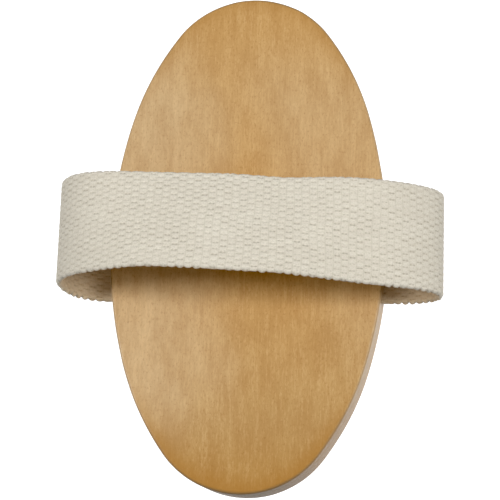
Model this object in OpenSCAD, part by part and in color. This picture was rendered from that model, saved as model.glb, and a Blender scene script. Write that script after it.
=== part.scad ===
// Oval dry body brush. A two-layer wooden block carries rows of bristle tufts on one face
// and a webbing hand strap over the other. Each tuft is folded over a flat wire anchor in
// a blind hole. The strap's ends lie in pockets between the layers, held by wire staples.
// Frame: X across the block, Y along it, Z up, and z = 0 at the bristle tips.

/* [Block] */
// Length of the oval block
block_l = 130; // [128:1:134]
// Width of the oval block
block_w = 71; // [68:1:74]
// Radius of the oval's ends
end_r = 24.5; // [24:0.5:26]
// Thickness of the back cover
cover_t = 5.5; // [4:0.5:8]
// Thickness of the bristle plate
plate_t = 9.5; // [9:0.5:14]
// Rounding of the block's outer edges
edge_r = 0.8; // [0.4:0.1:1.5]

/* [Bristles] */
// Length of the bristles below the plate
bristle_l = 20; // [12:1:30]
// Number of rows of tufts along the block
row_count = 17; // [9:2:17]
// Distance from row to row
row_pitch = 7; // [6:0.1:7]
// Distance from tuft to tuft in a row
tuft_pitch = 6.8; // [6:0.1:10]
// Least distance from a tuft's centre to the block's edge
rim_gap = 7; // [6:0.5:12]
// Diameter of a tuft's blind hole
hole_d = 3.2; // [2.6:0.1:3.6]
// Depth of a tuft's blind hole
hole_depth = 6; // [5:0.5:6]
// Diameter of a tuft at its tips, where the bristles spread
tip_d = 5; // [3.4:0.1:5.6]

/* [Strap] */
// Width of the webbing
strap_w = 26; // [20:0.1:28]
// Thickness of the webbing
strap_t = 1.8; // [1.2:0.1:2.2]
// Offset of the strap from the middle of the block's length
strap_y = -2.4; // [-6:0.1:6]
// Height of the strap's underside above the back at its crown
strap_clear = 24; // [16:1:30]
// How far the strap's left fold stands out beyond the block's side
strap_reach_left = 12; // [10:0.5:16]
// How far the strap's right fold stands out beyond the block's side
strap_reach_right = 14.7; // [10:0.1:18]
// Place of the crown across the block
crown_x = -12; // [-16:1:4]
// Length of strap inside each pocket
tail_l = 15; // [13:0.5:18]

/* [Wire parts] */
// Thickness of an anchor's flat wire
anchor_t = 0.3; // [0.2:0.05:0.5]
// Width of an anchor's flat wire
anchor_w = 1.6; // [1:0.1:2]
// How far an anchor's ends bite into the wood
anchor_bite = 0.5; // [0.2:0.1:0.8]
// Thickness of the staple wire
staple_t = 0.6; // [0.5:0.1:0.9]
// Length of a staple's legs below its crown
staple_leg = 6; // [5:0.5:7]

/* [Hidden] */
half_l = block_l / 2;
half_w = block_w / 2;
joint_z = bristle_l + plate_t;             // glued face between the two layers
back_z = joint_z + cover_t;                // flat back of the block
touch = 0.05;                              // clearance between a tuft and its hole
over = 1;                                  // how far a cutter passes through a face

// The outline is an oval of eight arcs with three radii. Two neighbouring arcs meet on the
// line through both their centres, so they share a tangent there. These lines run along
// end_dir and side_dir, whose parts are exact decimals, so that the arcs meet exactly.
end_dir = [0.8, 0.6];
side_dir = [0.96, 0.28];
side_step = 6.25 * (half_l - 3 * half_w + 2 * end_r);
shoulder_step = 5 * (half_w - end_r) - 0.2 * side_step;
shoulder_r = end_r + shoulder_step;
side_r = shoulder_r + side_step;
end_c = [0, half_l - end_r];
shoulder_c = end_c - shoulder_step * end_dir;
side_c = shoulder_c - side_step * side_dir;
reach = 2 * block_l;                       // longer than the block in any direction

// Strap heights, for the middle of the webbing's thickness
pocket_z = joint_z - strap_t - staple_t;   // floor of the strap pockets
tail_z = pocket_z + strap_t / 2;
crown_z = back_z + strap_clear + strap_t / 2;
fold_z = back_z + 3;
fold_left = half_w + strap_reach_left - strap_t / 2;
fold_right = half_w + strap_reach_right - strap_t / 2;
pocket_w = strap_w + 0.6;
pocket_x = half_w - tail_l;
// Each end's two staples lie across the strap, one further in than the other. A staple
// straddles a row of holes, so that both its legs go into the wood between rows.
staple_places = [[half_w - 4.5, -row_pitch], [half_w - 11, 0]];
curve_steps = 12;

row_names = [for (i = [1 : row_count]) str(i < 10 ? "0" : "", i)];

// Half the block's width at a distance y from its middle, drawn in by a margin m
function half_width(y, m) =
    let (d = abs(y),
         side_end = (side_r - m) * side_dir[1],
         shoulder_end = shoulder_c[1] + (shoulder_r - m) * end_dir[1])
    d <= side_end ? side_c[0] + sqrt(pow(side_r - m, 2) - d * d)
    : d <= shoulder_end ? shoulder_c[0] + sqrt(pow(shoulder_r - m, 2) - pow(d - shoulder_c[1], 2))
    : sqrt(max(0, pow(end_r - m, 2) - pow(d - end_c[1], 2)));

// Rows are spread evenly about the middle, and every second row is set half a pitch over
function row_y(i) = (i - (row_count - 1) / 2) * row_pitch;
function is_odd(i) = abs(i - (row_count - 1) / 2) % 2 == 1;
function row_tufts(i) =
    let (fit = half_width(row_y(i), rim_gap) / tuft_pitch)
    is_odd(i) ? 2 * floor(fit + 0.5) : 2 * floor(fit) + 1;
function tuft_x(i, k) = (k - (row_tufts(i) - 1) / 2) * tuft_pitch;

// A point on a cubic Bezier curve
function bezier(p, t) =
    pow(1 - t, 3) * p[0] + 3 * t * pow(1 - t, 2) * p[1] + 3 * t * t * (1 - t) * p[2] + pow(t, 3) * p[3];
function curve(p) = [for (i = [1 : curve_steps]) bezier(p, i / curve_steps)];

// The strap's middle line in the XZ plane, from one tail to the other. The webbing leaves
// each side level, folds up and back, and rises to the crown, more steeply on the left.
function strap_line() = concat(
    [[-pocket_x, tail_z], [-half_w, tail_z]],
    curve([[-half_w, tail_z], [-fold_left + 4, tail_z], [-fold_left, fold_z - 6], [-fold_left, fold_z]]),
    curve([[-fold_left, fold_z], [-fold_left, fold_z + 17], [crown_x - 23, crown_z], [crown_x, crown_z]]),
    curve([[crown_x, crown_z], [crown_x + 28, crown_z], [fold_right, fold_z + 13], [fold_right, fold_z]]),
    curve([[fold_right, fold_z], [fold_right, fold_z - 6], [fold_right - 4, tail_z], [half_w, tail_z]]),
    [[pocket_x, tail_z]]
);

// The unit normal of a polyline at point i
function normal_at(p, i) =
    let (d = p[min(i + 1, len(p) - 1)] - p[max(i - 1, 0)])
    [-d[1], d[0]] / norm(d);
function beside(p, s) = [for (i = [0 : len(p) - 1]) p[i] + s * normal_at(p, i)];

// A layer's section from an arc's centre to its edge: square at its foot, rounded on top
module layer_section(r, t) {
    square([r, t - edge_r]);
    square([r - edge_r, t]);
    translate([r - edge_r, t - edge_r]) circle(r = edge_r, $fn = 48);
}

// The part of a round layer that lies between two directions from its centre
module layer_arc(centre, r, t, from, to) {
    intersection() {
        translate(centre) rotate_extrude($fn = 180) layer_section(r, t);
        translate([0, 0, -over]) linear_extrude(t + 2 * over)
            polygon([centre, centre + reach * from, centre + reach * to]);
    }
}

// The right half of a layer, up to the long axis, but for its two ends
module layer_side(t) {
    intersection() {
        union() {
            layer_arc(side_c, side_r, t, [side_dir[0], -side_dir[1]], side_dir);
            for (s = [0, 1]) mirror([0, s, 0]) layer_arc(shoulder_c, shoulder_r, t, side_dir, end_dir);
        }
        translate([0, -half_l, -over]) cube([block_w, block_l, t + 2 * over]);
    }
}

module oval_layer(t) {
    for (s = [0, 1]) {
        mirror([s, 0, 0]) layer_side(t);
        mirror([0, s, 0]) layer_arc(end_c, end_r, t, end_dir, [-end_dir[0], end_dir[1]]);
    }
}

module at_tufts(i) {
    for (k = [0 : row_tufts(i) - 1]) translate([tuft_x(i, k), row_y(i), 0]) children();
}

// One anchor, lying along Y across the top of its hole
module anchor_wire() {
    anchor_l = hole_d + 2 * anchor_bite;
    translate([-anchor_t / 2, -anchor_l / 2, bristle_l + hole_depth - 0.8 - anchor_w])
        cube([anchor_t, anchor_l, anchor_w]);
}

// One tuft: the packed part in the hole, the spread part below it, and the anchor's slot
module tuft() {
    root_d = hole_d - 2 * touch;
    difference() {
        union() {
            translate([0, 0, bristle_l]) cylinder(d = root_d, h = hole_depth - touch, $fn = 32);
            cylinder(d1 = tip_d, d2 = root_d, h = bristle_l, $fn = 32);
        }
        anchor_wire();
    }
}

module staple_legs(side) {
    for (place = staple_places, e = [-1, 1])
        translate([side * place[0] - staple_t / 2,
                   place[1] + e * row_pitch / 2 - staple_t / 2, joint_z - staple_leg])
            cube([staple_t, staple_t, staple_leg]);
}

module strap_staples(side) {
    crown_w = row_pitch + staple_t;
    color("silver") union() {
        staple_legs(side);
        for (place = staple_places)
            translate([side * place[0] - staple_t / 2, place[1] - crown_w / 2, joint_z - staple_t])
                cube([staple_t, crown_w, staple_t]);
    }
}

module back_cover() {
    color("burlywood") translate([0, 0, joint_z]) oval_layer(cover_t);
}

module bristle_plate() {
    color("tan") difference() {
        translate([0, 0, joint_z]) mirror([0, 0, 1]) oval_layer(plate_t);
        for (i = [0 : row_count - 1]) at_tufts(i) {
            translate([0, 0, bristle_l - over]) cylinder(d = hole_d, h = hole_depth + over, $fn = 32);
            anchor_wire();
        }
        for (side = [-1, 1]) {
            translate([side > 0 ? pocket_x : -half_w - over, strap_y - pocket_w / 2, pocket_z])
                cube([tail_l + over, pocket_w, strap_t + staple_t + over]);
            staple_legs(side);
        }
    }
}

module strap() {
    line = strap_line();
    inside = beside(line, -strap_t / 2);
    outline = concat(beside(line, strap_t / 2), [for (i = [len(line) - 1 : -1 : 0]) inside[i]]);
    color("ivory") difference() {
        translate([0, strap_y + strap_w / 2, 0]) rotate([90, 0, 0]) linear_extrude(strap_w) polygon(outline);
        for (side = [-1, 1]) staple_legs(side);
    }
}

module tuft_row(i) {
    color("peru") at_tufts(i) tuft();
}

module anchor_row(i) {
    color("gray") at_tufts(i) anchor_wire();
}

back_cover();
bristle_plate();
strap();
strap_staples(-1);  // strap_staples_left
strap_staples(1);  // strap_staples_right
for (i = [0 : row_count - 1]) {
    tuft_row(i);
    anchor_row(i);
}
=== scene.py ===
"""Looks of an oval dry body brush: a lacquered wooden block in two layers, rows of natural
bristles under it, and a looped cotton webbing hand strap over its back. Lengths are in metres."""
import math

import bpy
import bmesh
import numpy as np
from mathutils import Matrix, Vector


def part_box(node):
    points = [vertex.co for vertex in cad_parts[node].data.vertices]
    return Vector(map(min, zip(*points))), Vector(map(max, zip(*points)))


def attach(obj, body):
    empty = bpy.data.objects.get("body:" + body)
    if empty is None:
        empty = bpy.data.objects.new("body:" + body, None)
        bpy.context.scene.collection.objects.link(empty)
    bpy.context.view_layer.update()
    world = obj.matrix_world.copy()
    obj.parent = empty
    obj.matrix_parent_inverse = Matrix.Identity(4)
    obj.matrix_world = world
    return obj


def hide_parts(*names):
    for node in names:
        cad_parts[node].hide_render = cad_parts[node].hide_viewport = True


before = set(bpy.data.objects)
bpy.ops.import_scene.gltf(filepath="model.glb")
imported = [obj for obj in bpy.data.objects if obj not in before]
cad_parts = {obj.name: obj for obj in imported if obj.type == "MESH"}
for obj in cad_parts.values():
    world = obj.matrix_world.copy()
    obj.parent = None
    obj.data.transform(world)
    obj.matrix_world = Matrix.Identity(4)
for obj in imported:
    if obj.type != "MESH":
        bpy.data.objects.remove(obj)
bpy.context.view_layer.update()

MM = 0.001

# ---- Sizes read from the frame -----------------------------------------------------------
cover_low, cover_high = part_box("back_cover")
plate_low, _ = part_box("bristle_plate")
strap_low, strap_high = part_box("strap")
BACK_Z = cover_high.z                      # flat back of the block
JOINT_Z = cover_low.z                      # glued face between the two layers
FACE_Z = plate_low.z                       # face that the bristles come out of
HALF_W = round(cover_high.x, 4)
HALF_L = round(cover_high.y, 4)
ROWS = sum(name.startswith("tuft_row_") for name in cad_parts)

# ---- Block -------------------------------------------------------------------------------
# The outline is an oval of eight arcs, which meet along END_DIR and SIDE_DIR.
END_R = 24.5 * MM
END_DIR = (0.8, 0.6)
SIDE_DIR = (0.96, 0.28)
SIDE_STEP = 6.25 * (HALF_L - 3 * HALF_W + 2 * END_R)
SHOULDER_STEP = 5 * (HALF_W - END_R) - 0.2 * SIDE_STEP
OUTLINE_STEPS = 384                        # points round the outline, a multiple of 4
JOIN_STEPS = 12                            # points over which the uneven edge is joined up
EDGE_R = 0.8 * MM                          # rounding of the block's outer edges
SEAM = 0.1 * MM                            # chamfer on each side of the glued joint
LAP = 4 * MM                               # inner margin of the ring of the glued face
CAP_MARGINS = (1.1, 1.6, 2.4, 3.6, 5.2, 7.5, 10.5, 14.5, 19)   # rings of the flat face, in mm
HOLE_D = 3.2 * MM
HOLE_DEPTH = 6 * MM
HOLE_SIDES = 32
OVER = 1 * MM                              # how far a cutter passes through a face

# ---- Strap -------------------------------------------------------------------------------
STRAP_W = 26 * MM
STRAP_T = 1.8 * MM
STRAP_Y = round((strap_low.y + strap_high.y) / 2, 4)
TAIL_L = 15 * MM                           # length inside each pocket
TAIL_Z = strap_low.z + STRAP_T / 2
CROWN_X = -12 * MM
CROWN_Z = strap_high.z - STRAP_T / 2
FOLD_LEFT = round(-strap_low.x, 4) - STRAP_T / 2
FOLD_RIGHT = round(strap_high.x, 4) - STRAP_T / 2
FOLD_Z = BACK_Z + 3 * MM
POCKET_W = STRAP_W + 0.6 * MM
WEFTS = 95                                 # weft columns along the strap
WARPS = 32                                 # warp yarns across it
WEFT_PITCH = 1.9 * MM
WARP_PITCH = STRAP_W / WARPS
STEPS_PER_WEFT = 4
STEPS_PER_PAIR = 8                         # mesh steps across two warp yarns
PIT_DEPTH = 0.28 * MM                      # the dashes between the floats of one column
DIVE_DEPTH = 0.13 * MM                     # the valleys where floats go under the next weft
CROWN_DEPTH = 0.07 * MM                    # fall of a float from its middle to its sides
SCALLOPS = (0.42 * MM, 0.2 * MM)           # height of the bumps along the -Y and +Y selvedges
EDGE_YARN = 24                             # power that keeps the bumps to the last yarn
EDGE_BULGE = 0.14 * MM                     # how far a selvedge's middle stands out

# ---- Bristles ----------------------------------------------------------------------------
ROW_PITCH = 7 * MM
TUFT_PITCH = 6.8 * MM
RIM_GAP = 7 * MM
TIP_D = 5 * MM
FIBRE_D = 0.3 * MM
FIBRES = 68                                # in one tuft
FIBRE_SIDES = 5
FIBRE_RINGS = 5
FIBRE_IN = 4.6 * MM                        # length of a fibre inside its hole
FIBRE_IN_SHARE = 0.19                      # and as a share of its whole length
FIBRE_LEAN = 0.32 * MM                     # about how far its tip strays to the side
FIBRE_BOW = 0.22 * MM                      # and its middle
FIBRE_SHORT = 0.22 * MM                    # about how far above the floor its tip ends
ROOT_GAP = 0.22 * MM                       # from the outermost fibres' middles to the hole's wall
TIP_GAP = 0.15 * MM                        # and to the edge of the spread tuft at its tips
TIP_Z = 0.02 * MM                          # the lowest that a tip reaches


# ---- Mesh helpers ------------------------------------------------------------------------
def make_piece(name, verts, faces, smooth=True):
    """A new object from arrays of corners and faces, linked to the scene."""
    mesh = bpy.data.meshes.new(name)
    mesh.from_pydata([tuple(v) for v in verts], [], [tuple(f) for f in faces])
    mesh.update()
    mesh.polygons.foreach_set("use_smooth", [smooth] * len(mesh.polygons))
    piece = bpy.data.objects.new(name, mesh)
    bpy.context.scene.collection.objects.link(piece)
    return piece


def set_attribute(piece, name, values):
    """Stores one number, or one vector, for each of the piece's points."""
    values = np.asarray(values, np.float32)
    kind, key = ("FLOAT_VECTOR", "vector") if values.ndim == 2 else ("FLOAT", "value")
    attribute = piece.data.attributes.new(name, kind, "POINT")
    attribute.data.foreach_set(key, values.ravel())


def ring_faces(rings, count, start=0):
    """Quads between neighbouring rings of count points each, which follow on from start."""
    j = np.arange(count)
    k = (j + 1) % count
    quads = [np.stack([start + r * count + j, start + r * count + k,
                       start + (r + 1) * count + k, start + (r + 1) * count + j], 1)
             for r in range(rings - 1)]
    return np.concatenate(quads)


def smooth_noise(count, spacing, cell, amount, seed):
    """A smooth random line of count values, with a feature about every cell."""
    source = np.random.default_rng(seed)
    knots = source.uniform(-1, 1, int(count * spacing / cell) + 4)
    at = np.arange(count) * spacing / cell + 1
    i = np.floor(at).astype(int)
    t = at - i
    t = t * t * (3 - 2 * t)
    return amount * (knots[i] * (1 - t) + knots[i + 1] * t)


# ---- Block -------------------------------------------------------------------------------
def outline_angles():
    """Directions of the outline's normals, spaced so that the points lie evenly round it."""
    side_angle, end_angle = math.asin(SIDE_DIR[1]), math.asin(END_DIR[1])
    spans = ((side_angle, END_R + SHOULDER_STEP + SIDE_STEP),
             (end_angle - side_angle, END_R + SHOULDER_STEP),
             (math.pi / 2 - end_angle, END_R))
    angles = np.concatenate([[0], np.cumsum([a for a, _ in spans])])
    lengths = np.concatenate([[0], np.cumsum([a * r for a, r in spans])])
    quarter = np.interp(np.linspace(0, lengths[-1], OUTLINE_STEPS // 4 + 1), lengths, angles)
    half = np.concatenate([quarter, math.pi - quarter[-2::-1]])
    return np.concatenate([half[:-1], half[:-1] + math.pi])


def outline(angles, margin):
    """Points of the oval drawn in by margin, one for each direction of its normal."""
    c, s = np.cos(angles), np.sin(angles)
    steep = np.abs(s)
    on_end = steep >= END_DIR[1] - 1e-9
    on_side = steep <= SIDE_DIR[1] + 1e-9
    radius = np.where(on_end, END_R, END_R + SHOULDER_STEP + np.where(on_side, SIDE_STEP, 0))
    back_x, back_y = (np.where(on_end, 0, SHOULDER_STEP * END_DIR[k]
                               + np.where(on_side, SIDE_STEP * SIDE_DIR[k], 0)) for k in (0, 1))
    x = np.sign(c) * -back_x + (radius - margin) * c
    y = np.sign(s) * (HALF_L - END_R - back_y) + (radius - margin) * s
    return np.stack([x, y], 1)


def half_width(y, margin):
    """Half the block's width at a distance y from its middle, drawn in by a margin."""
    points = outline(outline_angles(), margin)
    right = points[points[:, 0] >= 0]
    order = np.argsort(right[:, 1])
    return float(np.interp(y, right[order, 1], right[order, 0]))


def layer_mesh(name, foot_z, face_z):
    """One layer of the block, from its glued face at foot_z to its rounded outer face."""
    up = 1 if face_z > foot_z else -1
    angles = outline_angles()
    spacing = 3.2 * (HALF_L + HALF_W) / OUTLINE_STEPS    # about one step of the outline
    # the edge's rounding as a share of EDGE_R: uneven, less along the sides, and joined up
    # where the outline starts
    wear = 1 + np.abs(smooth_noise(OUTLINE_STEPS, spacing, 9 * MM, 0.3, 5))
    wear *= 1 - 0.25 * np.cos(angles) ** 2
    wear[-JOIN_STEPS:] = np.linspace(wear[-JOIN_STEPS], wear[0], JOIN_STEPS)
    rings, rims, ends = [], [], []

    def add_ring(margin, z, rim, wall=0.0):
        """Adds a ring. rim is how far in it lies on the outer face, and wall is 1 on the wall."""
        points = outline(angles, margin) if np.ndim(margin) == 0 else np.array(
            [outline(angles[i:i + 1], m)[0] for i, m in enumerate(margin)])
        z = np.broadcast_to(z, OUTLINE_STEPS)
        rings.append(np.column_stack([points, z]))
        rims.append(np.broadcast_to(rim, OUTLINE_STEPS))
        ends.append(wall * np.sin(angles) ** 2)

    add_ring(LAP, foot_z, 0.0)
    add_ring(SEAM, foot_z, 0.0, 1.0)
    add_ring(0.0, foot_z + up * SEAM, 0.0, 1.0)
    wall = abs(face_z - foot_z)
    for share in (0.3, 0.6, 0.85):
        add_ring(0.0, foot_z + up * share * (wall - EDGE_R * 1.4), 0.0, 1.0)
    for turn in np.linspace(0, math.pi / 2, 8):
        radius = EDGE_R * wear
        add_ring(radius * (1 - math.cos(turn)), face_z - up * radius * (1 - math.sin(turn)),
                 EDGE_R * (1 - math.cos(turn)), math.cos(turn) ** 2)
    for margin in CAP_MARGINS:
        add_ring(margin * MM + (wear - 1) * EDGE_R, face_z, margin * MM)
    last = rings[-1]
    for share in (0.66, 0.33):             # two more rings, drawn in to the long axis
        points = last.copy()
        points[:, 0] *= share
        rings.append(points)
        rims.append(np.full(OUTLINE_STEPS, (CAP_MARGINS[-1] + 8 * (1 - share)) * MM))
        ends.append(np.zeros(OUTLINE_STEPS))
    verts = np.concatenate(rings)
    faces = ring_faces(len(rings), OUTLINE_STEPS).tolist()
    for start in (0, (len(rings) - 1) * OUTLINE_STEPS):
        faces += cap_faces(start)
    piece = make_piece(name, verts, faces)
    set_attribute(piece, "rim", np.concatenate(rims))
    # end grain on the walls at the ends, which also carries painted shade there
    set_attribute(piece, "end_grain_and_shade", np.concatenate(ends))
    fix_normals(piece)
    return piece


def cap_faces(start):
    """Quads that close a ring, each joining two points of its right side to two of its left."""
    top = OUTLINE_STEPS // 4               # the point at the +Y end
    faces = []
    for i in range(OUTLINE_STEPS // 2):
        a, b = (top - i) % OUTLINE_STEPS, (top - i - 1) % OUTLINE_STEPS
        c, d = (top + i + 1) % OUTLINE_STEPS, (top + i) % OUTLINE_STEPS
        corners = list(dict.fromkeys([start + a, start + b, start + c, start + d]))
        if len(corners) > 2:
            faces.append(corners)
    return faces


def fix_normals(piece):
    """Turns all faces outwards."""
    mesh = bmesh.new()
    mesh.from_mesh(piece.data)
    bmesh.ops.recalc_face_normals(mesh, faces=mesh.faces)
    mesh.to_mesh(piece.data)
    mesh.free()


def row_y(i):
    """The place of a row of tufts along the block."""
    return (i - (ROWS - 1) / 2) * ROW_PITCH


def row_tufts(i):
    """The places of a row's tufts across the block. Every second row is set half a pitch over."""
    fit = half_width(row_y(i), RIM_GAP) / TUFT_PITCH
    count = 2 * math.floor(fit + 0.5) if (i - ROWS // 2) % 2 else 2 * math.floor(fit) + 1
    return [(k - (count - 1) / 2) * TUFT_PITCH for k in range(count)]


def hole_and_pocket_cutter():
    """One mesh of all that is cut from the bristle plate: blind holes and strap pockets."""
    verts, faces = [], []
    turns = np.arange(HOLE_SIDES) * 2 * math.pi / HOLE_SIDES
    circle = np.stack([np.cos(turns), np.sin(turns)], 1) * HOLE_D / 2
    for i in range(ROWS):
        for x in row_tufts(i):
            start = len(verts)
            for z in (FACE_Z - OVER, FACE_Z + HOLE_DEPTH):
                verts += [(x + px, row_y(i) + py, z) for px, py in circle]
            faces += ring_faces(2, HOLE_SIDES, start).tolist()
            faces.append(list(range(start + HOLE_SIDES - 1, start - 1, -1)))
            faces.append(list(range(start + HOLE_SIDES, start + 2 * HOLE_SIDES)))
    for side in (-1, 1):
        start = len(verts)
        xs = sorted((side * (HALF_W - TAIL_L), side * (HALF_W + OVER)))
        ys = (STRAP_Y - POCKET_W / 2, STRAP_Y + POCKET_W / 2)
        verts += [(x, y, z) for z in (strap_low.z, JOINT_Z + OVER) for x, y in
                  ((xs[0], ys[0]), (xs[1], ys[0]), (xs[1], ys[1]), (xs[0], ys[1]))]
        faces += ring_faces(2, 4, start).tolist()
        faces += [[start + 3, start + 2, start + 1, start],
                  [start + 4, start + 5, start + 6, start + 7]]
    return make_piece("plate_cutter", verts, faces, smooth=False)


def cut(piece, cutter):
    """Cuts one piece with another, which is then removed."""
    tool = piece.modifiers.new("cut", "BOOLEAN")
    tool.operation = "DIFFERENCE"
    tool.solver = "EXACT"
    tool.object = cutter
    bpy.context.view_layer.update()
    done = bpy.data.meshes.new_from_object(piece.evaluated_get(bpy.context.evaluated_depsgraph_get()))
    piece.modifiers.clear()
    piece.data = done
    bpy.data.objects.remove(cutter)


def sharpen(piece, angle=40):
    """Shades a piece smooth, but for its edges above an angle."""
    mesh = piece.data
    mesh.polygons.foreach_set("use_smooth", [True] * len(mesh.polygons))
    mesh.set_sharp_from_angle(angle=math.radians(angle))


def make_block():
    """The two wooden layers, each in place of its CAD node."""
    cover = layer_mesh("back_cover_wood", JOINT_Z, BACK_Z)
    plate = layer_mesh("bristle_plate_wood", JOINT_Z, FACE_Z)
    cut(plate, hole_and_pocket_cutter())
    for piece, node, slot in ((cover, "back_cover", "cover_wood"),
                              (plate, "bristle_plate", "plate_wood")):
        sharpen(piece)
        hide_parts(node)
        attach(piece, "root")
    return cover, plate


# ---- Strap -------------------------------------------------------------------------------
# From the left pocket almost to the right fold the webbing lies a little towards +Y. Its -Y
# edge turns into the loop at the left fold, and out of it over the crown. Each swell is its
# height, then the shares of the strap's length where it starts, is full, fades and ends.
SHIFT = (1.5, 0.09, 0.22, 0.34, 0.72)      # mm towards +Y
FOLD_TWIST = (-4.0, 0.09, 0.14, 0.15, 0.20)    # degrees
CROWN_TWIST = (16.0, 0.24, 0.40, 0.55, 0.69)   # degrees
FLAT_SHARE = 0.085                         # it lies flat up to this share from either end
FOLD_SHARE = 0.24                          # and its selvedges are bumpier up to this one


def ramp(value, low, high):
    """From 0 at low to 1 at high, with soft ends."""
    t = np.clip((value - low) / (high - low), 0, 1)
    return t * t * (3 - 2 * t)


def swell(share, height, start, full, fade, end):
    """A smooth rise to height and back along the strap."""
    return height * ramp(share, start, full) * (1 - ramp(share, fade, end))


def bezier(a, b, c, d, steps=64):
    """Points on a cubic Bezier curve, without its first."""
    t = np.linspace(0, 1, steps + 1)[1:, None]
    a, b, c, d = (np.array(p, float) for p in (a, b, c, d))
    return (1 - t) ** 3 * a + 3 * t * (1 - t) ** 2 * b + 3 * t * t * (1 - t) * c + t ** 3 * d


def strap_line():
    """The middle of the webbing in the XZ plane, from one tail over the back to the other."""
    left, right, crown = (-FOLD_LEFT, FOLD_Z), (FOLD_RIGHT, FOLD_Z), (CROWN_X, CROWN_Z)
    below = FOLD_Z - 6 * MM
    return np.concatenate([
        [(-HALF_W + TAIL_L, TAIL_Z), (-HALF_W, TAIL_Z)],
        bezier((-HALF_W, TAIL_Z), (-FOLD_LEFT + 4 * MM, TAIL_Z), (-FOLD_LEFT, below), left),
        bezier(left, (-FOLD_LEFT, FOLD_Z + 17 * MM), (CROWN_X - 23 * MM, CROWN_Z), crown),
        bezier(crown, (CROWN_X + 28 * MM, CROWN_Z), (FOLD_RIGHT, FOLD_Z + 13 * MM), right),
        bezier(right, (FOLD_RIGHT, below), (FOLD_RIGHT - 4 * MM, TAIL_Z), (HALF_W, TAIL_Z)),
        [(HALF_W - TAIL_L, TAIL_Z)]])


def even_points(line, count):
    """The line cut into even steps: its points, its unit directions and its length."""
    run = np.concatenate([[0], np.cumsum(np.linalg.norm(np.diff(line, axis=0), axis=1))])
    at = np.linspace(0, run[-1], count + 1)
    points = np.stack([np.interp(at, run, line[:, k]) for k in (0, 1)], 1)
    direction = np.gradient(points, axis=0)
    direction /= np.linalg.norm(direction, axis=1)[:, None]
    return points, direction, run[-1]


def hash01(a, b, seed):
    """A repeatable random number from 0 to 1 for each pair of whole numbers."""
    value = np.sin(a * 127.1 + b * 311.7 + seed * 74.7) * 43758.5453
    return value - np.floor(value)


def weave(along, across, face):
    """How far the webbing's surface lies below its crowns.

    Along the strap each weft makes a column. In a column every second warp yarn floats over
    the weft and spreads, and a narrow pit is left over each yarn that passes under it.
    along is counted in columns, across in pairs of yarns, and face is 0 outside, 1 inside."""
    column = np.floor(along)
    ends = np.abs(2 * (along - column) - 1)
    shifted = across + 0.5 * ((column + face) % 2)
    from_float = 2 * np.abs(shifted - np.round(shifted))
    vary = 0.75 + 0.4 * hash01(column, np.floor(shifted), face)
    dive = ends ** 6
    corners = 0.75 + 0.25 * np.clip(1 - np.abs(ends - 0.5) / 0.3, 0, 1)
    pit = from_float ** 4 * corners * np.clip((0.9 - ends) / 0.25, 0, 1) * vary
    return PIT_DEPTH * pit + DIVE_DEPTH * dive + CROWN_DEPTH * from_float ** 2 * (1 - dive)


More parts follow.
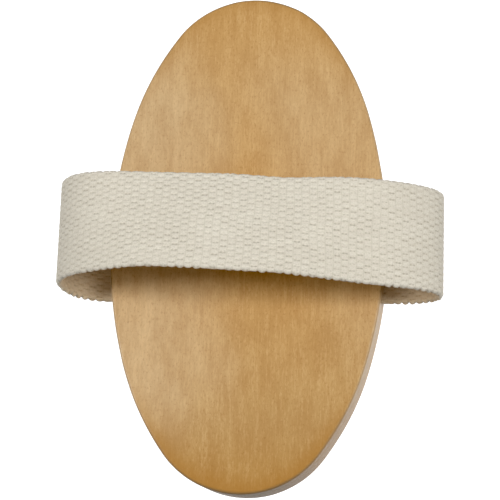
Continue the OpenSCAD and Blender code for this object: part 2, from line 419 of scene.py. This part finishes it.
def make_strap():
    """The webbing, woven in relief on both faces, in place of the CAD strap."""
    rows = WEFTS * STEPS_PER_WEFT
    columns = WARPS // 2 * STEPS_PER_PAIR
    middle, direction, length = even_points(strap_line(), rows)
    share = np.linspace(0, 1, rows + 1)
    shift = swell(share, *SHIFT)
    twist = swell(share, *CROWN_TWIST) + swell(share, *FOLD_TWIST)
    from_end = np.minimum(share, 1 - share)
    loose = np.clip((from_end - FLAT_SHARE) / 0.02, 0, 1)    # 0 in the pockets
    step = length / rows
    # both with small uneven waves
    shift = (shift + loose * smooth_noise(rows + 1, step, 17 * MM, 0.12, 21)) * MM
    twist = np.radians(twist + loose * smooth_noise(rows + 1, step, 13 * MM, 1.0, 22))
    slant = np.gradient(shift, step)       # keeps the wefts square to the way the strap runs

    v = np.linspace(-1, 1, columns + 1)
    # the weave's own coordinates, each wavering a little, so that no line of it is ruled
    along = share[:, None] * WEFTS + 0.10 * smooth_noise(columns + 1, 0.2, 3.1, 1, 23)[None, :]
    across = v[None, :] * WARPS / 4 + 0.07 * smooth_noise(rows + 1, 0.47, 7.0, 1, 24)[:, None]
    near_fold = np.clip((FOLD_SHARE - from_end) / 0.05, 0, 1)
    scallops = []
    for side, height in enumerate(SCALLOPS):
        beat = np.abs(np.sin(math.pi * (share * WEFTS + 0.5 * side)))
        uneven = 0.75 + smooth_noise(rows + 1, step, 2.6 * MM, 0.7, 25 + side) + 0.8 * near_fold
        scallops.append(height * (beat ** 0.6 - 0.6) * uneven)
    stands_out = np.where(v < 0, scallops[0][:, None], scallops[1][:, None]) * loose[:, None]
    flat = v * STRAP_W / 2 + v * np.abs(v) ** EDGE_YARN * stands_out
    from_edge = (1 - np.abs(v)) * STRAP_W / 2
    edge_fall = STRAP_T / 4 * np.clip(1 - from_edge / (0.7 * MM), 0, 1) ** 2    # rounds the selvedges

    def place(height, offset):
        """Points on the webbing, at a height above its middle and an offset across it."""
        c, s = np.cos(twist)[:, None], np.sin(twist)[:, None]
        normal = height * c - offset * s
        forward = -offset * slant[:, None]
        y = STRAP_Y + shift[:, None] + offset * c + height * s
        x = middle[:, :1] - direction[:, 1:] * normal + direction[:, :1] * forward
        z = middle[:, 1:] + direction[:, :1] * normal + direction[:, 1:] * forward
        return np.stack([x, y, z], 2)

    sides = []
    for face, sign in ((0, 1), (1, -1)):
        # the weave is pressed nearly flat in the pockets
        relief = weave(along, across, face) * (0.15 + 0.85 * loose[:, None])
        half = STRAP_T / 2 - relief - edge_fall[None, :]
        sides.append(place(sign * half, flat))
    edges = [place(np.zeros((rows + 1, 1)), flat[:, [k]] + s * EDGE_BULGE)
             for k, s in ((0, -1), (-1, 1))]
    loop = np.concatenate([sides[0], edges[1], sides[1][:, ::-1], edges[0]], 1)
    count = loop.shape[1]
    verts = loop.reshape(-1, 3)
    faces = ring_faces(rows + 1, count).tolist()
    for start in (0, rows * count):        # the two cut ends
        for j in range(columns):
            opposite = start + 2 * columns + 1 - j
            faces.append([start + j, start + j + 1, opposite, opposite + 1])
        faces.append([start + columns, start + columns + 1, start + columns + 2])
        faces.append([start, start + count - 1, start + count - 2])
    piece = make_piece("webbing_strap", verts, faces)
    weave_places = []
    for grid in (along, across):
        full = np.broadcast_to(grid, (rows + 1, columns + 1))
        weave_places.append(np.concatenate([full, full[:, [-1]], full[:, ::-1], full[:, [0]]], 1))
    face_loop = np.concatenate([np.zeros(columns + 1), [0.5], np.ones(columns + 1), [0.5]])
    weave_places.append(np.broadcast_to(face_loop, (rows + 1, count)))
    set_attribute(piece, "weave", np.stack(weave_places, 2).reshape(-1, 3))
    fix_normals(piece)
    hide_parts("strap")
    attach(piece, "root")
    return piece


# ---- Bristles ----------------------------------------------------------------------------
def tuft_fibres(x, y, source):
    """Corner points of one tuft's fibres, as an array of fibre, ring, side and coordinate."""
    number = np.arange(FIBRES)
    turn = number * math.pi * (3 - math.sqrt(5)) + source.uniform(0, 6.28)
    radius = np.sqrt((number + 0.5) / FIBRES)
    root = np.stack([np.cos(turn), np.sin(turn)], 1) * radius[:, None] * (HOLE_D / 2 - ROOT_GAP)
    lean = source.normal(0, FIBRE_LEAN, (FIBRES, 2))
    tip = np.stack([np.cos(turn), np.sin(turn)], 1) * radius[:, None] * (TIP_D / 2 - TIP_GAP) + lean
    bow = source.normal(0, FIBRE_BOW, (FIBRES, 2))
    top = FACE_Z + FIBRE_IN
    bottom = np.abs(source.normal(0, FIBRE_SHORT, FIBRES)) + TIP_Z
    t = np.linspace(0, 1, FIBRE_RINGS)[None, :, None]
    spread = np.clip((t - FIBRE_IN_SHARE) / (1 - FIBRE_IN_SHARE), 0, 1) ** 1.15
    path = (root[:, None] * (1 - spread) + tip[:, None] * spread
            + bow[:, None] * np.sin(math.pi * spread))
    z = top + (bottom[:, None] - top) * t[..., 0]
    thick = FIBRE_D / 2 * source.uniform(0.75, 1.1, FIBRES)[:, None, None] * (1 - 0.2 * t)
    sides = np.arange(FIBRE_SIDES) * 2 * math.pi / FIBRE_SIDES
    ring = np.stack([np.cos(sides), np.sin(sides)], 1)
    points = path[:, :, None] + ring[None, None] * thick[..., None]
    z = np.broadcast_to(z[:, :, None, None], points.shape[:3] + (1,))
    return np.concatenate([points + np.array([x, y]), z], 3)


def make_bristle_row(i, finish):
    """All the fibres of one row of tufts, in place of the row's CAD node."""
    source = np.random.default_rng(100 + i)
    name = f"{i + 1:02d}"
    tufts = [tuft_fibres(x, row_y(i), source) for x in row_tufts(i)]
    points = np.concatenate(tufts)
    fibres = len(points)
    per_fibre = FIBRE_RINGS * FIBRE_SIDES
    faces = []
    one = ring_faces(FIBRE_RINGS, FIBRE_SIDES).tolist()
    one += [list(range(FIBRE_SIDES - 1, -1, -1)), list(range(per_fibre - FIBRE_SIDES, per_fibre))]
    for f in range(fibres):
        faces += [[c + f * per_fibre for c in corners] for corners in one]
    piece = make_piece(f"bristles_row_{name}", points.reshape(-1, 3), faces)
    set_attribute(piece, "fibre", np.repeat(source.uniform(0, 1, fibres), per_fibre))
    fix_normals(piece)
    piece.data.materials.append(finish)
    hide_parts(f"tuft_row_{name}")
    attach(piece, "root")
    return piece


# ---- Materials ---------------------------------------------------------------------------
class Shader:
    """A material with one Principled shader, and short ways to add nodes to it."""

    def __init__(self, name, **sockets):
        self.material = bpy.data.materials.new(name)
        self.material.use_nodes = True
        self.nodes = self.material.node_tree.nodes
        self.links = self.material.node_tree.links
        self.surface = self.nodes["Principled BSDF"]
        for socket, value in sockets.items():
            self.surface.inputs[socket.replace("_", " ")].default_value = value

    def link(self, value, socket):
        """Sets a socket to a number or colour, or links it to another node's output."""
        if isinstance(value, bpy.types.NodeSocket):
            self.links.new(value, socket)
        else:
            socket.default_value = value

    def attribute(self, name, output="Fac"):
        """A value that set_attribute() stored on the piece."""
        node = self.nodes.new("ShaderNodeAttribute")
        node.attribute_name = name
        return node.outputs[output]

    def place(self):
        """The object's own coordinates, in metres."""
        return self.nodes.new("ShaderNodeTexCoord").outputs["Object"]

    def split(self, vector):
        """The three parts of a vector."""
        node = self.nodes.new("ShaderNodeSeparateXYZ")
        self.link(vector, node.inputs[0])
        return tuple(node.outputs)

    def vector_math(self, operation, a, b):
        """A vector worked out from two others."""
        node = self.nodes.new("ShaderNodeVectorMath")
        node.operation = operation
        for value, socket in zip((a, b), node.inputs):
            self.link(value, socket)
        return node.outputs[0]

    def math(self, operation, a, b=0.0, c=0.0, clamp=False):
        """A number worked out from up to three others."""
        node = self.nodes.new("ShaderNodeMath")
        node.operation = operation
        node.use_clamp = clamp
        for value, socket in zip((a, b, c), node.inputs):
            self.link(value, socket)
        return node.outputs[0]

    def stretch(self, vector, size, turn=(0, 0, 0)):
        """The vector counted in steps of the given size along each axis."""
        node = self.nodes.new("ShaderNodeMapping")
        self.link(vector, node.inputs["Vector"])
        node.inputs["Rotation"].default_value = turn
        node.inputs["Scale"].default_value = [1 / s for s in size]
        return node.outputs[0]

    def noise(self, vector, size, detail=3.0, roughness=0.5, turn=(0, 0, 0)):
        """Smooth noise from about 0 to 1, with features of the given size."""
        node = self.nodes.new("ShaderNodeTexNoise")
        self.link(self.stretch(vector, size, turn), node.inputs["Vector"])
        node.inputs["Scale"].default_value = 1.0
        node.inputs["Detail"].default_value = detail
        node.inputs["Roughness"].default_value = roughness
        return node.outputs["Fac"]

    def range(self, value, low, high, to_low=0.0, to_high=1.0):
        """value moved from one range to another, and kept inside it, with soft ends."""
        node = self.nodes.new("ShaderNodeMapRange")
        node.interpolation_type = "SMOOTHSTEP"
        for number, socket in zip((value, low, high, to_low, to_high), node.inputs):
            self.link(number, socket)
        return node.outputs[0]

    def mix(self, share, a, b):
        """The colour a, with a share of the colour b."""
        node = self.nodes.new("ShaderNodeMix")
        node.data_type = "RGBA"
        self.link(share, node.inputs["Factor"])
        self.link(a, node.inputs[6])
        self.link(b, node.inputs[7])
        return node.outputs[2]

    def colour(self, value):
        """Sets the surface's colour."""
        self.link(value, self.surface.inputs["Base Color"])

    def roughness(self, value):
        """Sets how rough the surface is."""
        self.link(value, self.surface.inputs["Roughness"])

    def bump(self, *layers):
        """Raises the surface by each layer in turn, given as (height from 0 to 1, metres)."""
        normal = None
        for height, distance in layers:
            node = self.nodes.new("ShaderNodeBump")
            node.inputs["Distance"].default_value = distance
            self.link(height, node.inputs["Height"])
            if normal:
                self.link(normal, node.inputs["Normal"])
            normal = node.outputs[0]
        self.link(normal, self.surface.inputs["Normal"])


def srgb(red, green, blue):
    """A colour given as it looks on a screen, from 0 to 255, as a shader takes it."""
    linear = [c / 255 / 12.92 if c <= 10 else ((c / 255 + 0.055) / 1.055) ** 2.4
              for c in (red, green, blue)]
    return (*linear, 1.0)


COTTON_PALE = srgb(230, 224, 210)
COTTON_DULL = srgb(222, 215, 201)
COTTON_DARK = srgb(188, 181, 162)
# painted shade in the weave's pits
COTTON_PIT_SHADE = srgb(142, 131, 110)
COTTON_INNER_BOUNCE = srgb(238, 198, 138)         # painted warm light, bounced from the wood, on the strap's inner face
WOOD_FOOT_TONE_AND_SHADE = srgb(172, 128, 66)             # at the -Y end, partly its own tone and partly painted shade
WOOD_HEAD_TONE_AND_SHADE = srgb(192, 146, 82)             # at the +Y end, partly its own tone and partly painted shade
WOOD_MOTTLE = srgb(150, 100, 44)
WOOD_STREAK = srgb(132, 84, 34)
WOOD_GLEAM = srgb(230, 198, 148)
WOOD_FLECK = srgb(140, 92, 44)
WOOD_ARRIS_WEAR_AND_SHEEN = srgb(160, 144, 118)           # partly wear and partly a painted grey reflection, on the wall and the start of the rounded edge
# darker, duller end grain, also carrying painted shade on the walls at the ends
WOOD_END_GRAIN_AND_SHADE = srgb(98, 80, 52)
FIBRE_TAN = srgb(212, 180, 132)
FIBRE_PALE = srgb(240, 220, 178)
FIBRE_BROWN = srgb(168, 124, 78)
FIBRE_LIGHT = srgb(246, 230, 194)
WIRE_DARK = srgb(150, 149, 146)
WIRE_LIGHT = srgb(186, 186, 184)


def wood(name, pale, middle, deep, rim_tint_and_shade, offset):
    """Fine straight-grained wood under a satin lacquer, with its grain along Y.

    The board is paler towards its long sides: a painted sheen most of all at -X, and towards +X
    partly its own tone and partly painted light. It is deeper towards -Y and at both ends, partly
    its own tone and partly painted shade. Its end grain is darker and dull, with painted shade on
    the walls at the ends. The arris is greyer, partly wear and partly a painted reflection. The rim
    tint darkens its rim near the ends, partly its own tone and partly painted shade, and offset
    moves the grain, so that no two boards are alike."""
    s = Shader(name, Coat_Weight=0.15, Coat_Roughness=0.25, Specular_IOR_Level=0.17)
    place = s.place()
    at = s.vector_math("ADD", place, (offset, offset * 0.7, offset * 0.3))
    bands = s.noise(at, (6 * MM, 70 * MM, 9 * MM), detail=2)
    streaks = s.noise(at, (1.1 * MM, 14 * MM, 1.2 * MM), detail=3, roughness=0.6)
    lines = s.noise(at, (0.4 * MM, 8 * MM, 0.5 * MM), detail=2, roughness=0.6)
    fibres = s.noise(at, (0.34 * MM, 1.2 * MM, 0.4 * MM), detail=2, roughness=0.7)
    flecks = s.noise(at, (0.5 * MM, 0.8 * MM, 0.5 * MM), detail=1, roughness=0.6)
    blotches = s.noise(at, (17 * MM, 26 * MM, 17 * MM), detail=2)
    mottle = s.noise(at, (4.5 * MM, 11 * MM, 5 * MM), detail=3, roughness=0.6)
    # how the board's colour changes across and along it, partly its own tone and partly painted light
    # and shade
    across, along, _ = s.split(place)
    waver = s.math("MULTIPLY", blotches, 20 * MM)
    # painted sheen towards -X
    left_sheen = s.range(s.math("SUBTRACT", across, waver), -6 * MM, -34 * MM)
    left_sheen = s.math("MULTIPLY", left_sheen, s.range(along, -60 * MM, -36 * MM))
    # paler towards +X, partly its own tone and partly painted light
    right_tone_and_light = s.range(s.math("ADD", across, s.math("MULTIPLY", along, 0.4)), 4 * MM, 26 * MM, 0.0, 0.6)
    # deeper towards -Y, partly its own tone and partly painted shade
    foot_tone_and_shade = s.range(s.math("ADD", along, waver), 16 * MM, -52 * MM)
    base = s.mix(right_tone_and_light, middle, pale)
    base = s.mix(foot_tone_and_shade, base, deep)
    base = s.mix(left_sheen, base, pale)
    # darker at both ends, partly its own tone and partly painted shade
    base = s.mix(s.range(along, -46 * MM, -64 * MM, 0.0, 0.7), base, WOOD_FOOT_TONE_AND_SHADE)
    base = s.mix(s.range(along, 34 * MM, 62 * MM, 0.0, 0.6), base, WOOD_HEAD_TONE_AND_SHADE)
    # grain
    light = s.math("MULTIPLY_ADD", streaks, 0.3, s.math("MULTIPLY", bands, 0.2))
    light = s.math("MULTIPLY_ADD", lines, 0.28, light)
    light = s.math("MULTIPLY_ADD", mottle, 0.07, light)
    light = s.math("MULTIPLY_ADD", fibres, 0.5, light)
    base = s.mix(s.range(mottle, 0.36, 0.62, 0.17, 0.0), base, WOOD_MOTTLE)
    base = s.mix(s.range(light, 0.5, 0.76, 0.15, 0.0), base, WOOD_STREAK)
    base = s.mix(s.range(light, 0.64, 0.9, 0.0, 0.26), base, WOOD_GLEAM)
    base = s.mix(s.range(flecks, 0.56, 0.74, 0.0, 0.26), base, WOOD_FLECK)
    # rim, wall and end grain: the rim tint, partly painted shade; the arris, partly wear and partly a
    # painted grey reflection; the end grain, with painted shade on the walls at the ends
    rim = s.attribute("rim")
    # the rim near the ends is darker, partly its own tone and partly painted shade
    rim_share = s.range(s.math("MULTIPLY_ADD", blotches, 3 * MM, rim), 0.8 * MM, 7 * MM, 0.85, 0.0)
    near_ends = s.math("ADD", s.range(along, -34 * MM, -56 * MM),
                       s.range(along, 34 * MM, 56 * MM, 0.0, 0.5))
    rim_share = s.math("MULTIPLY", rim_share, near_ends)
    base = s.mix(rim_share, base, rim_tint_and_shade)
    # greyer arris, partly wear and partly a painted grey reflection
    base = s.mix(s.range(rim, 0.15 * MM, 0.7 * MM, 0.3, 0.0), base, WOOD_ARRIS_WEAR_AND_SHEEN)
    end_grain_and_shade = s.attribute("end_grain_and_shade")
    # darker end grain on the walls at the ends, partly its own and partly painted shade
    base = s.mix(s.math("MULTIPLY", end_grain_and_shade, 0.85), base, WOOD_END_GRAIN_AND_SHADE)
    s.colour(base)
    s.roughness(s.math("MULTIPLY_ADD", end_grain_and_shade, 0.3, s.range(streaks, 0.3, 0.7, 0.4, 0.5)))
    s.bump((streaks, 0.015 * MM), (fibres, 0.03 * MM), (flecks, 0.02 * MM))
    return s.material


def webbing():
    """Undyed cotton yarn, with its twist, painted shade in the pits of the weave and in the valleys
    between its columns, and painted warm light, bounced from the wood, on its inner face.
    """
    s = Shader("cotton_webbing", Sheen_Weight=0.2, Sheen_Roughness=0.5, Specular_IOR_Level=0.15)
    count = s.attribute("weave", "Vector")
    at = s.vector_math("MULTIPLY", count, (WEFT_PITCH, 2 * WARP_PITCH, 1))
    along, across, inner = s.split(count)
    ply = (0, 0, math.radians(18))         # the slant of the twisted threads in a yarn
    strands = s.noise(at, (0.7 * MM, 0.16 * MM, 1), detail=3, roughness=0.7, turn=ply)
    fuzz = s.noise(at, (0.42 * MM, 0.36 * MM, 1), detail=2, roughness=0.7)
    yarns = s.noise(at, (16 * MM, 0.8 * MM, 1), detail=1)
    cloth = s.noise(at, (9 * MM, 5 * MM, 1), detail=3)
    pit, dive = weave_marks(s, along, across, inner)
    base = s.mix(s.range(yarns, 0.3, 0.7), COTTON_DULL, COTTON_PALE)
    base = s.mix(s.range(cloth, 0.35, 0.7, 0.0, 0.5), base, COTTON_DULL)
    base = s.mix(s.range(strands, 0.35, 0.65, 0.3, 0.0), base, COTTON_DARK)
    base = s.mix(s.range(fuzz, 0.3, 0.55, 0.45, 0.0), base, COTTON_DARK)
    # painted shade in the valleys between the weave's columns
    base = s.mix(s.math("MULTIPLY", dive, 0.5), base, COTTON_DARK)
    # painted shade in the weave's pits
    base = s.mix(s.range(pit, 0.05, 0.9, 0.0, 0.52), base, COTTON_PIT_SHADE)
    # painted warm light, bounced from the wood, on the inner face
    base = s.mix(s.math("MULTIPLY", inner, 0.42), base, COTTON_INNER_BOUNCE)
    s.colour(base)
    s.roughness(s.range(strands, 0.3, 0.7, 0.82, 0.94))
    s.bump((s.math("SUBTRACT", 1.0, pit), 0.08 * MM), (strands, 0.06 * MM), (fuzz, 0.12 * MM))
    return s.material


def weave_marks(s, along, across, face):
    """The pits of the weave and the valleys between its columns, from 0 to 1, where weave()
    has them."""
    column = s.math("FLOOR", along)
    ends = s.math("ABSOLUTE", s.math("MULTIPLY_ADD", s.math("SUBTRACT", along, column), 2.0, -1.0))
    odd = s.math("FLOORED_MODULO", s.math("ADD", column, s.math("ROUND", face)), 2.0)
    shifted = s.math("MULTIPLY_ADD", odd, 0.5, across)
    from_float = s.math("SUBTRACT", shifted, s.math("ROUND", shifted))
    from_float = s.math("MULTIPLY", s.math("ABSOLUTE", from_float), 2.0)
    inside = s.range(ends, 0.6, 0.95, 1.0, 0.0)
    corners = s.range(s.math("ABSOLUTE", s.math("SUBTRACT", ends, 0.5)), 0.1, 0.4, 1.0, 0.6)
    number = s.nodes.new("ShaderNodeCombineXYZ")
    s.link(column, number.inputs[0])
    s.link(s.math("FLOOR", shifted), number.inputs[1])
    own = s.nodes.new("ShaderNodeTexWhiteNoise")
    s.link(number.outputs[0], own.inputs["Vector"])
    depth = s.math("MULTIPLY", s.math("MULTIPLY_ADD", own.outputs["Value"], 0.7, 0.5), corners)
    pit = s.math("MULTIPLY", s.math("POWER", from_float, 4.0), inside)
    pit = s.math("MULTIPLY", pit, depth, clamp=True)
    return pit, s.math("POWER", ends, 8.0)


def bristle():
    """Natural plant fibre, each strand with its own tone."""
    s = Shader("natural_bristle", Specular_IOR_Level=0.35)
    fibre = s.attribute("fibre")
    base = s.mix(s.range(fibre, 0.0, 1.0), FIBRE_TAN, FIBRE_PALE)
    base = s.mix(s.range(fibre, 0.86, 0.95, 0.0, 0.6), base, FIBRE_BROWN)
    ends = s.noise(s.place(), (0.5 * MM, 0.5 * MM, 4 * MM), detail=2)
    base = s.mix(s.range(ends, 0.35, 0.7, 0.0, 0.35), base, FIBRE_LIGHT)
    s.colour(base)
    s.roughness(s.range(ends, 0.3, 0.7, 0.42, 0.58))
    s.bump((ends, 0.02 * MM))
    return s.material


def steel_wire():
    """Drawn galvanised wire."""
    s = Shader("drawn_wire", Metallic=1.0)
    drawn = s.noise(s.place(), (0.1 * MM, 1.2 * MM, 0.1 * MM), detail=3)
    s.colour(s.mix(s.range(drawn, 0.3, 0.7), WIRE_DARK, WIRE_LIGHT))
    s.roughness(s.range(drawn, 0.3, 0.7, 0.28, 0.45))
    s.bump((drawn, 0.01 * MM))
    return s.material


def paint(piece, material):
    """Gives a piece its one material."""
    piece.data.materials.clear()
    piece.data.materials.append(material)


# ---- Stage -------------------------------------------------------------------------------
# The room's light depends on how steeply it comes, from -1 straight below to 1 straight above
ROOM_LIGHT = 0.3                           # from ROOM_FROM upwards
FLOOR_LIGHT = 0.11                         # from FLOOR_TO downwards
UNDER_LIGHT = 1.8                          # added from UNDER_FULL downwards
ROOM_FROM, FLOOR_TO = 0.4, -0.25
UNDER_FROM, UNDER_FULL = -0.86, -0.96
FLOOR_GLOW, BACKDROP_GLOW = 0.96, 1.1
FLOOR_HALF = 2                             # half the floor's width
FILM_BLACK = 0.023                         # light below this is recorded as black
ROOM_R = 3.5                               # radius of the white room behind everything
SOFTBOXES = (("left_softbox", -44, 5.9), ("right_softbox", 50, 6.7))   # degrees from upright, watts
SOFTBOX_SIZE = (0.7, 0.24)                 # across the brush and along it
SOFTBOX_Y = -0.027                         # from the brush's middle
CAMERA_EYE = (54, -90, 386)                # mm from the middle of the brush's back
CAMERA_AIM = (1, -3.1, 0)                  # mm from the same point
CAMERA_LEAN = 1.9                          # degrees that +Y leans to the right in the picture
CAMERA_LENS = 112.5                        # mm
CAMERA_SENSOR = 36                         # mm wide


def add_film():
    """Plain colours, with the deepest shadows a little darker, as a camera keeps them."""
    film = bpy.context.scene.view_settings
    film.view_transform = "Standard"
    film.use_curve_mapping = True
    film.curve_mapping.black_level = (FILM_BLACK, FILM_BLACK, FILM_BLACK)
    film.curve_mapping.update()


def light_table(name, strength):
    """A glowing white face, which isn't seen from behind."""
    s = Shader(name, Roughness=0.9, Specular_IOR_Level=0.1, Emission_Strength=strength)
    s.surface.inputs["Base Color"].default_value = (0.5, 0.5, 0.5, 1)
    s.surface.inputs["Emission Color"].default_value = (1, 1, 1, 1)
    front = s.math("SUBTRACT", 1.0, s.nodes.new("ShaderNodeNewGeometry").outputs["Backfacing"])
    s.link(front, s.surface.inputs["Alpha"])
    return s.material


def add_floor():
    """A pale floor, which the brush's bristles stand on."""
    corners = [(x * FLOOR_HALF, y * FLOOR_HALF, 0) for x, y in ((-1, -1), (1, -1), (1, 1), (-1, 1))]
    floor = make_piece("floor", corners, [(0, 1, 2, 3)], smooth=False)
    paint(floor, light_table("light_table", FLOOR_GLOW))
    floor.visible_diffuse = False          # its glow doesn't light matt surfaces
    floor.visible_shadow = False


def add_backdrop():
    """A white room behind the floor's edge, which the camera sees and which lights nothing."""
    mesh = bmesh.new()
    bmesh.ops.create_icosphere(mesh, subdivisions=3, radius=ROOM_R)
    bmesh.ops.reverse_faces(mesh, faces=mesh.faces)
    data = bpy.data.meshes.new("backdrop")
    mesh.to_mesh(data)
    mesh.free()
    backdrop = bpy.data.objects.new("backdrop", data)
    bpy.context.scene.collection.objects.link(backdrop)
    paint(backdrop, light_table("white_room", BACKDROP_GLOW))
    for kind in ("diffuse", "glossy", "transmission", "volume_scatter", "shadow"):
        setattr(backdrop, "visible_" + kind, False)


def add_lights(target):
    """A pale room that also glows from straight below, and a softbox high on either side."""
    world = bpy.data.worlds.new("room")
    bpy.context.scene.world = world
    world.use_nodes = True
    nodes, links = world.node_tree.nodes, world.node_tree.links
    height = nodes.new("ShaderNodeSeparateXYZ")
    links.new(nodes.new("ShaderNodeTexCoord").outputs["Generated"], height.inputs[0])
    total = nodes.new("ShaderNodeMath")
    for i, values in enumerate(((FLOOR_TO, ROOM_FROM, FLOOR_LIGHT, ROOM_LIGHT),
                                (UNDER_FROM, UNDER_FULL, 0.0, UNDER_LIGHT))):
        fade = nodes.new("ShaderNodeMapRange")
        links.new(height.outputs["Z"], fade.inputs[0])
        for socket, value in zip(fade.inputs[1:], values):
            socket.default_value = value
        links.new(fade.outputs[0], total.inputs[i])
    links.new(total.outputs[0], nodes["Background"].inputs["Strength"])
    nodes["Background"].inputs["Color"].default_value = (1.0, 1.0, 1.0, 1)
    for name, angle, power in SOFTBOXES:
        softbox = bpy.data.lights.new(name, "AREA")
        softbox.shape = "RECTANGLE"
        softbox.size, softbox.size_y = SOFTBOX_SIZE
        softbox.energy = power
        lamp = bpy.data.objects.new(name, softbox)
        bpy.context.scene.collection.objects.link(lamp)
        turn = math.radians(angle)
        lamp.location = target + Vector((math.sin(turn), SOFTBOX_Y, math.cos(turn)))
        lamp.rotation_euler = (0, turn, 0)


def add_camera(target):
    """Looks down on the brush's back, from a little towards its -Y end and its +X side."""
    eye = target + Vector(CAMERA_EYE) * MM
    aim = target + Vector(CAMERA_AIM) * MM
    lean = math.radians(CAMERA_LEAN)
    view = (aim - eye).normalized()
    right = view.cross(Vector((0, 1, 0))).normalized()
    up = right.cross(view)
    right, up = (right * math.cos(lean) + up * math.sin(lean),
                 up * math.cos(lean) - right * math.sin(lean))
    data = bpy.data.cameras.new("camera")
    data.sensor_width = CAMERA_SENSOR
    data.lens = CAMERA_LENS
    data.clip_start, data.clip_end = 0.02, 20
    camera = bpy.data.objects.new("camera", data)
    bpy.context.scene.collection.objects.link(camera)
    turned = Matrix((right, up, -view)).transposed()
    camera.matrix_world = Matrix.Translation(eye) @ turned.to_4x4()
    bpy.context.scene.camera = camera


# ---- The brush ---------------------------------------------------------------------------
back_middle = Vector(((cover_low.x + cover_high.x) / 2, (cover_low.y + cover_high.y) / 2, BACK_Z))
add_film()
add_camera(back_middle)
add_lights(back_middle)
add_floor()
add_backdrop()

cover, plate = make_block()
# pale carries painted sheen and painted light, deep and the rim tint painted shade, all but the sheen
# partly the wood's own tone too
paint(cover, wood("cover_lacquered_wood", pale=srgb(202, 172, 130), middle=srgb(197, 157, 103),
                  deep=srgb(183, 147, 96), rim_tint_and_shade=srgb(166, 120, 60), offset=0.0))
paint(plate, wood("plate_lacquered_wood", pale=srgb(200, 165, 118), middle=srgb(196, 156, 104),
                  deep=srgb(186, 146, 96), rim_tint_and_shade=srgb(170, 128, 78), offset=0.31))
paint(make_strap(), webbing())
bristle_finish = bristle()
for row in range(ROWS):
    make_bristle_row(row, bristle_finish)
wire = steel_wire()
for name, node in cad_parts.items():
    if name.startswith("anchor_row_") or name.startswith("strap_staples_"):
        paint(node, wire)

bpy.context.view_layer.update()
